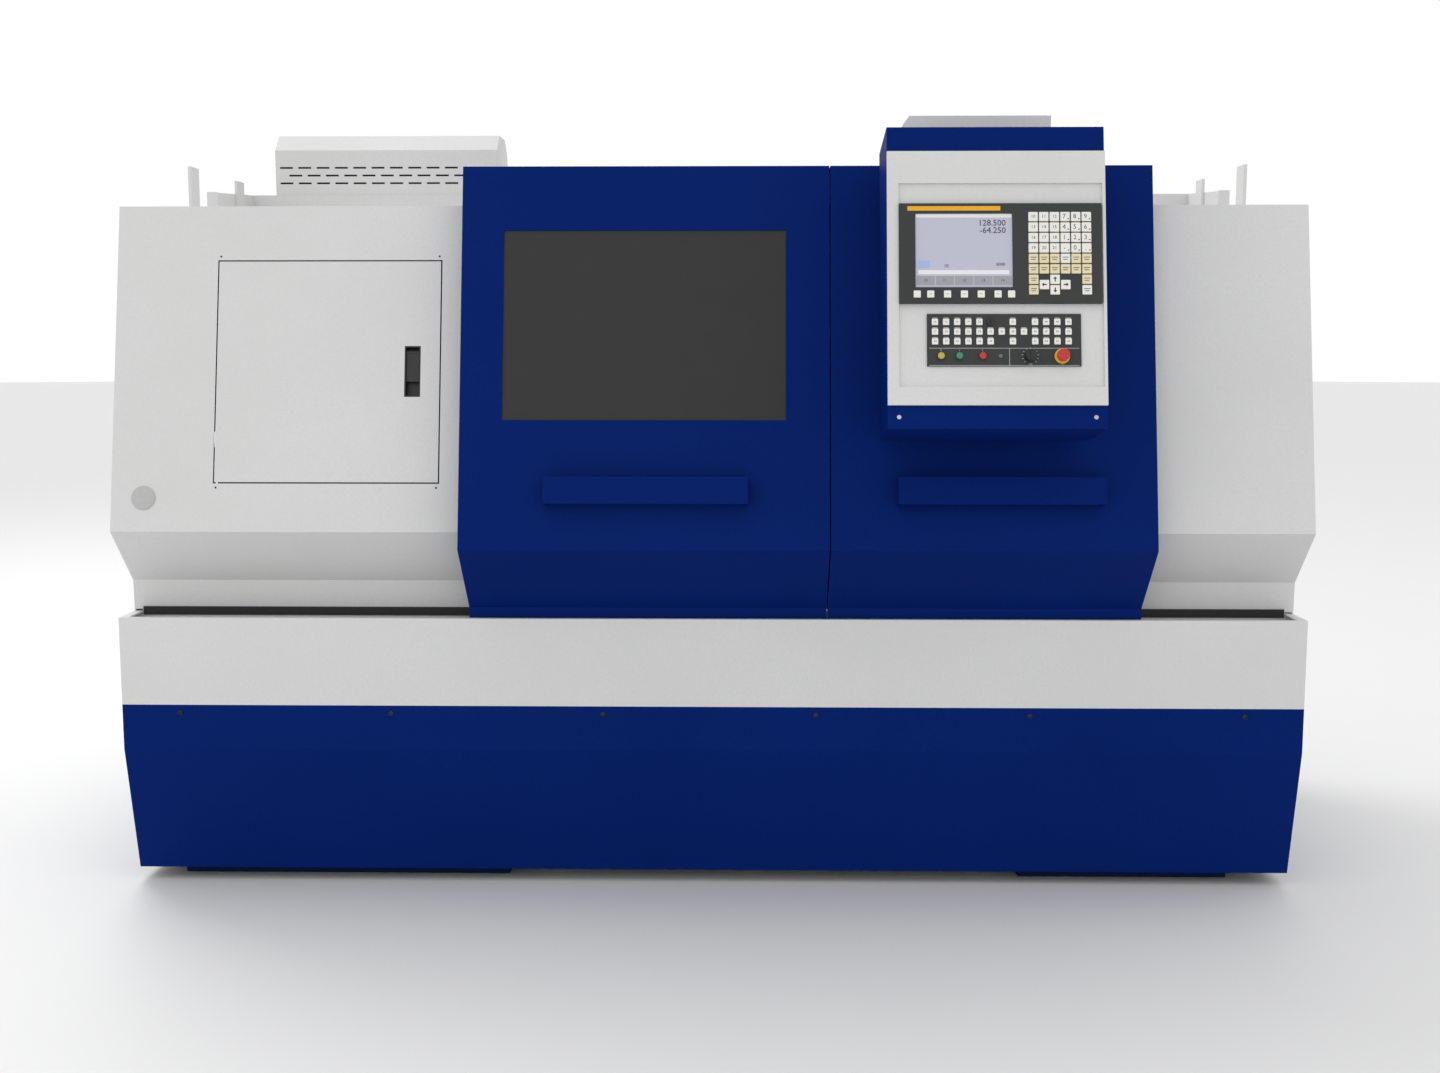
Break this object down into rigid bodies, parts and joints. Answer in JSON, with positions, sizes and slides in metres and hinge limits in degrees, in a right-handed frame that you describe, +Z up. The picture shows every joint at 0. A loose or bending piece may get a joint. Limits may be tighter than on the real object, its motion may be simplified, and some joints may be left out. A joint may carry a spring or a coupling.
{
  "type": "cnc turning lathe",
  "caption": "Flat-bed CNC turning lathe: white and blue sheet enclosure, two sliding doors, tilted operator console, chuck, tool turret, tailstock and louvred cabinet.",
  "frame": {"origin": "centre of the footprint at floor level", "axes": "+X along the spindle from headstock to tailstock, +Y to the back of the machine, +Z up"},
  "size_m": [2.6, 1.5664, 1.794],
  "materials": {
    "blue_paint": "satin blue enamel",
    "dark_blue_paint": "satin blue enamel",
    "white_paint": "satin white powder coat",
    "grey_paint": "satin grey powder coat",
    "cast_iron": "machined and painted casting",
    "machined_steel": "ground steel",
    "black_plastic": "fine grain",
    "charcoal_plastic": "fine grain",
    "key_plastic": "smooth",
    "nylon": "machined nylon",
    "dark_glass": "laminated dark pane",
    "belt_rubber": "matt",
    "red_plastic": "gloss",
    "yellow_plastic": "gloss",
    "green_plastic": "gloss",
    "motor_paint": "black enamel",
    "carbide_tool": "blackened steel"
  },
  "bodies": {
    "machine": {"headstock_pedestal": "dark_blue_paint", "tailstock_pedestal": "dark_blue_paint", "lathe_bed": "cast_iron", "oil_pan": "white_paint", "front_kick_panel": "blue_paint", "side_kick_panels": "blue_paint", "left_cover": "white_paint", "right_cover": "white_paint", "rear_cover": "white_paint", "corner_posts": "white_paint", "door_upper_rail": "grey_paint", "electric_cabinet": "white_paint", "cabinet_hood": "white_paint", "headstock": "cast_iron", "spindle_bearings": "machined_steel", "main_motor": "motor_paint", "drive_belt": "belt_rubber", "z_motor": "motor_paint", "coolant_tank": "grey_paint"},
    "left_door": {"left_door_panel": "blue_paint", "left_door_window": "dark_glass", "left_door_handle": "blue_paint", "left_door_glides": "nylon"},
    "right_door": {"right_door_panel": "blue_paint", "right_door_handle": "blue_paint", "right_door_glides": "nylon", "console_box": "blue_paint", "console_front_panel": "white_paint", "console_duct": "white_paint", "screen_unit": "charcoal_plastic", "console_keys": "key_plastic", "operator_panel": "charcoal_plastic"},
    "yellow_button": {"yellow_button": "yellow_plastic"},
    "green_button": {"green_button": "green_plastic"},
    "red_button": {"red_button": "red_plastic"},
    "key_switch": {"key_switch": "machined_steel"},
    "override_knob": {"override_knob": "black_plastic"},
    "estop": {"estop_head": "red_plastic"},
    "access_door": {"access_door": "white_paint", "latch_housing": "black_plastic"},
    "latch_paddle": {"latch_paddle": "black_plastic"},
    "cabinet_door": {"cabinet_door": "white_paint"},
    "cabinet_lock": {"cabinet_lock": "black_plastic"},
    "spindle": {"spindle": "machined_steel", "chuck_body": "machined_steel"},
    "motor_pulley": {"motor_pulley": "machined_steel"},
    "jaw_1": {"chuck_jaw_1": "machined_steel"},
    "jaw_2": {"chuck_jaw_2": "machined_steel"},
    "jaw_3": {"chuck_jaw_3": "machined_steel"},
    "z_screw": {"z_screw": "machined_steel"},
    "carriage": {"saddle": "cast_iron", "x_motor": "motor_paint"},
    "x_screw": {"x_screw": "machined_steel"},
    "cross_slide": {"cross_slide": "cast_iron"},
    "turret": {"turret_head": "machined_steel", "cutting_tools": "carbide_tool"},
    "tailstock": {"tailstock_body": "cast_iron"},
    "quill": {"quill": "machined_steel"},
    "live_centre": {"live_centre": "machined_steel"},
    "handwheel": {"tailstock_handwheel": "machined_steel"}
  },
  "joints": [
    {"name": "left_door_slide", "type": "slide", "parent": "machine", "child": "left_door", "axis": [-1, 0, 0], "range_m": [0, 0.74]},
    {"name": "right_door_slide", "type": "slide", "parent": "machine", "child": "right_door", "axis": [1, 0, 0], "range_m": [0, 0.335]},
    {"name": "access_door_hinge", "type": "hinge", "parent": "machine", "child": "access_door", "pos_m": [-1.0635, -0.43984, 1.15447], "axis": [0, 0.1854, 0.9827], "range_deg": [-100, 0]},
    {"name": "latch_paddle_hinge", "type": "hinge", "parent": "access_door", "child": "latch_paddle", "pos_m": [-0.647, -0.43427, 1.19476], "axis": [-1, 0, 0], "range_deg": [0, 30], "stiffness_Nm_per_rad": 0.3},
    {"name": "cabinet_door_hinge", "type": "hinge", "parent": "machine", "child": "cabinet_door", "pos_m": [-1.218, 0.76785, 1.09], "axis": [0, 0, 1], "range_deg": [0, 110]},
    {"name": "cabinet_lock_turn", "type": "hinge", "parent": "cabinet_door", "child": "cabinet_lock", "pos_m": [-0.388, 0.77685, 1.0915], "axis": [0, 1, 0], "range_deg": [0, 90]},
    {"name": "spindle_spin", "type": "hinge", "parent": "machine", "child": "spindle", "pos_m": [-0.64, 0, 1.13], "axis": [1, 0, 0], "continuous": true},
    {"name": "motor_spin", "type": "hinge", "parent": "machine", "child": "motor_pulley", "pos_m": [-1.24, 0, 0.3], "axis": [1, 0, 0], "continuous": true},
    {"name": "jaw_1_slide", "type": "slide", "parent": "spindle", "child": "jaw_1", "axis": [0, 0, 1], "range_m": [-0.012, 0.009]},
    {"name": "jaw_2_slide", "type": "slide", "parent": "spindle", "child": "jaw_2", "axis": [0, -0.866, -0.5], "range_m": [-0.012, 0.009]},
    {"name": "jaw_3_slide", "type": "slide", "parent": "spindle", "child": "jaw_3", "axis": [0, 0.866, -0.5], "range_m": [-0.012, 0.009]},
    {"name": "z_screw_spin", "type": "hinge", "parent": "machine", "child": "z_screw", "pos_m": [0, -0.258, 0.76], "axis": [1, 0, 0], "range_deg": [0, 20880]},
    {"name": "carriage_slide", "type": "slide", "parent": "machine", "child": "carriage", "axis": [1, 0, 0], "range_m": [0, 0.58]},
    {"name": "x_screw_spin", "type": "hinge", "parent": "carriage", "child": "x_screw", "pos_m": [-0.2, 0, 0.925], "axis": [0, 1, 0], "range_deg": [0, 14400]},
    {"name": "cross_slide_move", "type": "slide", "parent": "carriage", "child": "cross_slide", "axis": [0, 1, 0], "range_m": [0, 0.2]},
    {"name": "turret_index", "type": "hinge", "parent": "cross_slide", "child": "turret", "pos_m": [-0.2, -0.23, 1.11], "axis": [0, 0, 1], "continuous": true},
    {"name": "tailstock_slide", "type": "slide", "parent": "machine", "child": "tailstock", "axis": [1, 0, 0], "range_m": [-0.6, 0.15]},
    {"name": "handwheel_turn", "type": "hinge", "parent": "tailstock", "child": "handwheel", "pos_m": [0.92, 0, 1.13], "axis": [1, 0, 0], "range_deg": [-7200, 0]},
    {"name": "quill_slide", "type": "slide", "parent": "tailstock", "child": "quill", "axis": [1, 0, 0], "range_m": [-0.12, 0]},
    {"name": "live_centre_spin", "type": "hinge", "parent": "quill", "child": "live_centre", "pos_m": [0.52, 0, 1.13], "axis": [1, 0, 0], "continuous": true},
    {"name": "yellow_button_press", "type": "slide", "parent": "right_door", "child": "yellow_button", "axis": [0, 0.9821, -0.1882], "range_m": [0, 0.003], "stiffness_N_per_m": 400},
    {"name": "green_button_press", "type": "slide", "parent": "right_door", "child": "green_button", "axis": [0, 0.9821, -0.1882], "range_m": [0, 0.003], "stiffness_N_per_m": 400},
    {"name": "red_button_press", "type": "slide", "parent": "right_door", "child": "red_button", "axis": [0, 0.9821, -0.1882], "range_m": [0, 0.003], "stiffness_N_per_m": 400},
    {"name": "key_switch_turn", "type": "hinge", "parent": "right_door", "child": "key_switch", "pos_m": [0.56, -0.74851, 1.25577], "axis": [0, 0.9821, -0.1882], "range_deg": [0, 90]},
    {"name": "override_knob_turn", "type": "hinge", "parent": "right_door", "child": "override_knob", "pos_m": [0.638, -0.76616, 1.19022], "axis": [0, 0.9821, -0.1882], "range_deg": [-135, 135]},
    {"name": "estop_press", "type": "slide", "parent": "right_door", "child": "estop", "axis": [0, 0.9821, -0.1882], "range_m": [0, 0.004], "stiffness_N_per_m": 800}
  ],
  "couplings": [
    {"joint": "motor_spin", "follows": "spindle_spin", "ratio": 1.625},
    {"joint": "jaw_2_slide", "follows": "jaw_1_slide", "ratio": 1},
    {"joint": "jaw_3_slide", "follows": "jaw_1_slide", "ratio": 1},
    {"joint": "z_screw_spin", "follows": "carriage_slide", "rad_per_m": 628.32},
    {"joint": "x_screw_spin", "follows": "cross_slide_move", "rad_per_m": 1256.6},
    {"joint": "quill_slide", "follows": "handwheel_turn", "m_per_rad": 0.00095493}
  ]
}
